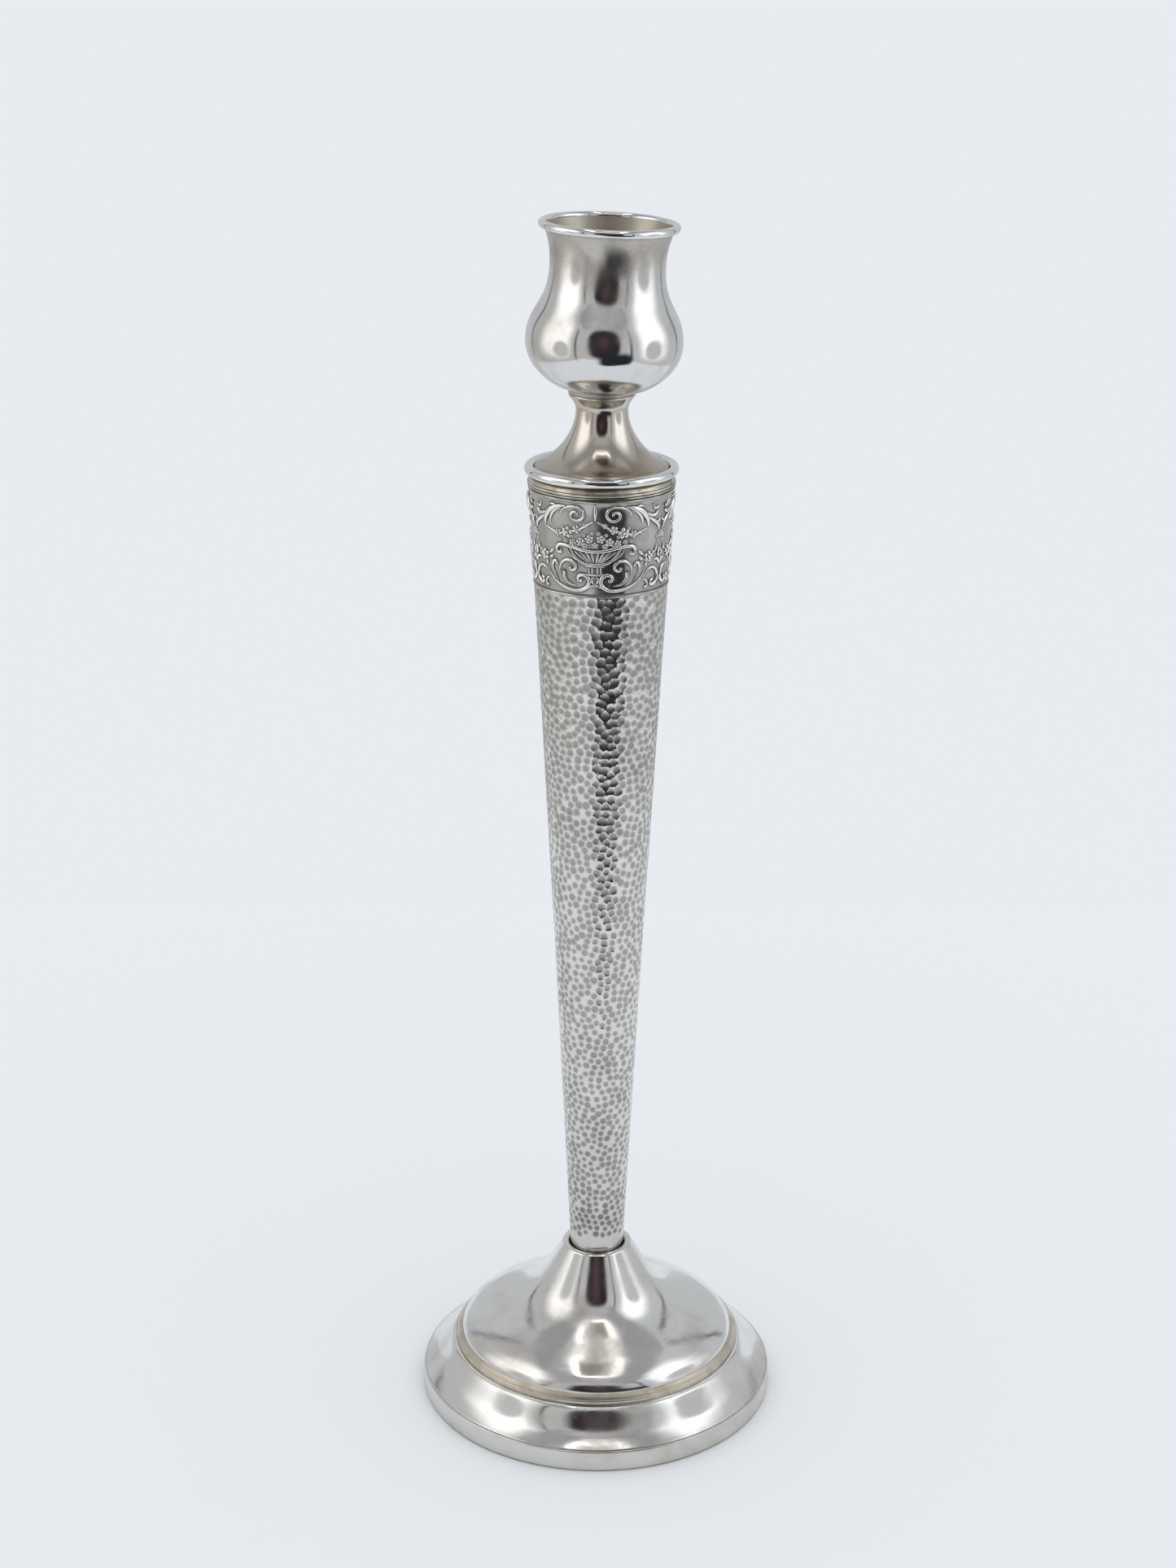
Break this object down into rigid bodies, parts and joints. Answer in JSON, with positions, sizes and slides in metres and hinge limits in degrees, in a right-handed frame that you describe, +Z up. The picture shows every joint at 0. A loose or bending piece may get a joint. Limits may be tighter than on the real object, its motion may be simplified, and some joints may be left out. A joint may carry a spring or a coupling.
{
  "type": "altar candlestick",
  "caption": "Tall silver-plated altar candlestick with a tulip cup, hammered tapering stem, ornamental band and weighted round base.",
  "frame": {"origin": "centre of the resting face, on the underside of the felt", "axes": "+Z up along the stem, +X towards the side that the cup leans to, -Y towards the front of the frieze"},
  "size_m": [0.0888, 0.0888, 0.2955],
  "materials": {
    "green_felt": "pressed green baize",
    "steel_sheet": "dull sheet",
    "plated_base": "silver plate, softly polished, fine scratches and small dents",
    "worn_brass": "plating worn through to warm brass",
    "plaster_filling": "cast plaster",
    "steel_hardware": "plain zinc-free steel, slightly oxidised",
    "turned_brass": "unplated turned brass",
    "hammered_plate": "silver plate over close hammer marks",
    "plated_frieze": "silver plate in relief, tarnish in the recesses",
    "tarnished_plate": "silver plate with yellow-brown tarnish",
    "polished_plate": "bright polished silver plate",
    "plated_neck": "silver plate, warm tarnish in the hollow",
    "solder": "dull soft solder",
    "plated_cup": "silver plate, polished outside, warm tarnish inside"
  },
  "bodies": {
    "root": {"felt_pad": "green_felt", "base_plate": "steel_sheet", "base_foot": "plated_base", "base_step_ring": "worn_brass", "base_dome": "plated_base", "base_weight": "plaster_filling", "clamp_washer": "steel_hardware", "clamp_nut": "steel_hardware", "tie_rod": "steel_hardware", "stem_seat": "turned_brass", "stem_tube": "hammered_plate", "stem_sleeve": "turned_brass", "frieze_band": "plated_frieze", "top_ferrule": "tarnished_plate", "top_plate": "turned_brass", "top_nut": "steel_hardware", "collar_bead": "polished_plate", "neck_spool": "plated_neck", "cup_solder_seat": "solder", "candle_cup": "plated_cup", "cup_rim_wire": "polished_plate"}
  },
  "joints": []
}
